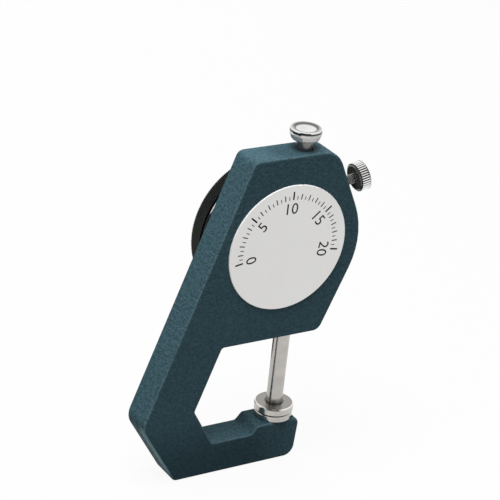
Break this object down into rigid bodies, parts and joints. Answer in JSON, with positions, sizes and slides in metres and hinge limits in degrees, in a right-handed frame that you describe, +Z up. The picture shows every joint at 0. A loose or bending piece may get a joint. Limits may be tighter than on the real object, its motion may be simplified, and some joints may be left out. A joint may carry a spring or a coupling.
{
  "type": "dial thickness gauge",
  "caption": "Hand-held dial thickness gauge: cast C-shaped frame, sprung rack spindle with flat foot over a fixed anvil, rotating bezel dial, lift knob and knurled lock screw.",
  "frame": {"origin": "on the spindle axis, at the plane of the frame's base edge", "axes": "+Z up along the spindle, +Y out of the back plate, so the dial faces -Y; +X toward the spine"},
  "size_m": [0.0597, 0.0149, 0.0898],
  "materials": {
    "teal_paint": "fine hammered paint, satin",
    "silver_plate": "smooth satin sheet",
    "steel": "ground, satin",
    "polished_steel": "bright plated",
    "spring_steel": "blued",
    "brass": "turned",
    "black_paint": "black, satin",
    "white_dial": "printed, matt",
    "clear": "clear, polished"
  },
  "bodies": {
    "frame": {"frame": "teal_paint", "back_plate": "silver_plate", "anvil": "steel", "lower_bush": "brass", "upper_bush": "brass", "movement_plate": "brass", "plate_screws": "steel", "front_bearing": "brass", "rear_bearing": "brass", "spring_stud": "steel", "return_spring": "spring_steel", "bezel_washer": "polished_steel", "bezel_wire": "spring_steel"},
    "spindle": {"spindle": "steel", "guide_pin": "steel", "contact_foot": "steel", "lift_knob": "polished_steel"},
    "pointer": {"pinion": "brass", "spring_collet": "brass", "pointer_hub": "brass", "pointer_hand": "black_paint"},
    "bezel": {"bezel": "black_paint", "dial_face": "white_dial", "crystal": "clear", "crystal_ring": "black_paint"},
    "lock_pad": {"lock_pad": "brass"},
    "lock_screw": {"lock_screw": "polished_steel"}
  },
  "joints": [
    {"name": "spindle_lift", "type": "slide", "parent": "frame", "child": "spindle", "axis": [0, 0, 1], "range_m": [0, 0.02], "stiffness_N_per_m": 60, "springref_m": -0.012, "deforming": ["return_spring"]},
    {"name": "pointer_turn", "type": "hinge", "parent": "frame", "child": "pointer", "pos_m": [0.00436, 0, 0.0605], "axis": [0, 1, 0], "range_deg": [-1, 361]},
    {"name": "bezel_turn", "type": "hinge", "parent": "frame", "child": "bezel", "pos_m": [0.00436, 0, 0.0605], "axis": [0, 1, 0], "continuous": true},
    {"name": "lock_pad_press", "type": "slide", "parent": "frame", "child": "lock_pad", "axis": [0.9781, 0, -0.2079], "range_m": [-0.0009, 0.00022]},
    {"name": "lock_turn", "type": "hinge", "parent": "lock_pad", "child": "lock_screw", "pos_m": [0, 0, 0.0709], "axis": [0.9781, 0, -0.2079], "range_deg": [-721, 181]}
  ],
  "couplings": [
    {"joint": "pointer_turn", "follows": "spindle_lift", "rad_per_m": 314.16},
    {"joint": "lock_turn", "follows": "lock_pad_press", "rad_per_m": 13963}
  ]
}
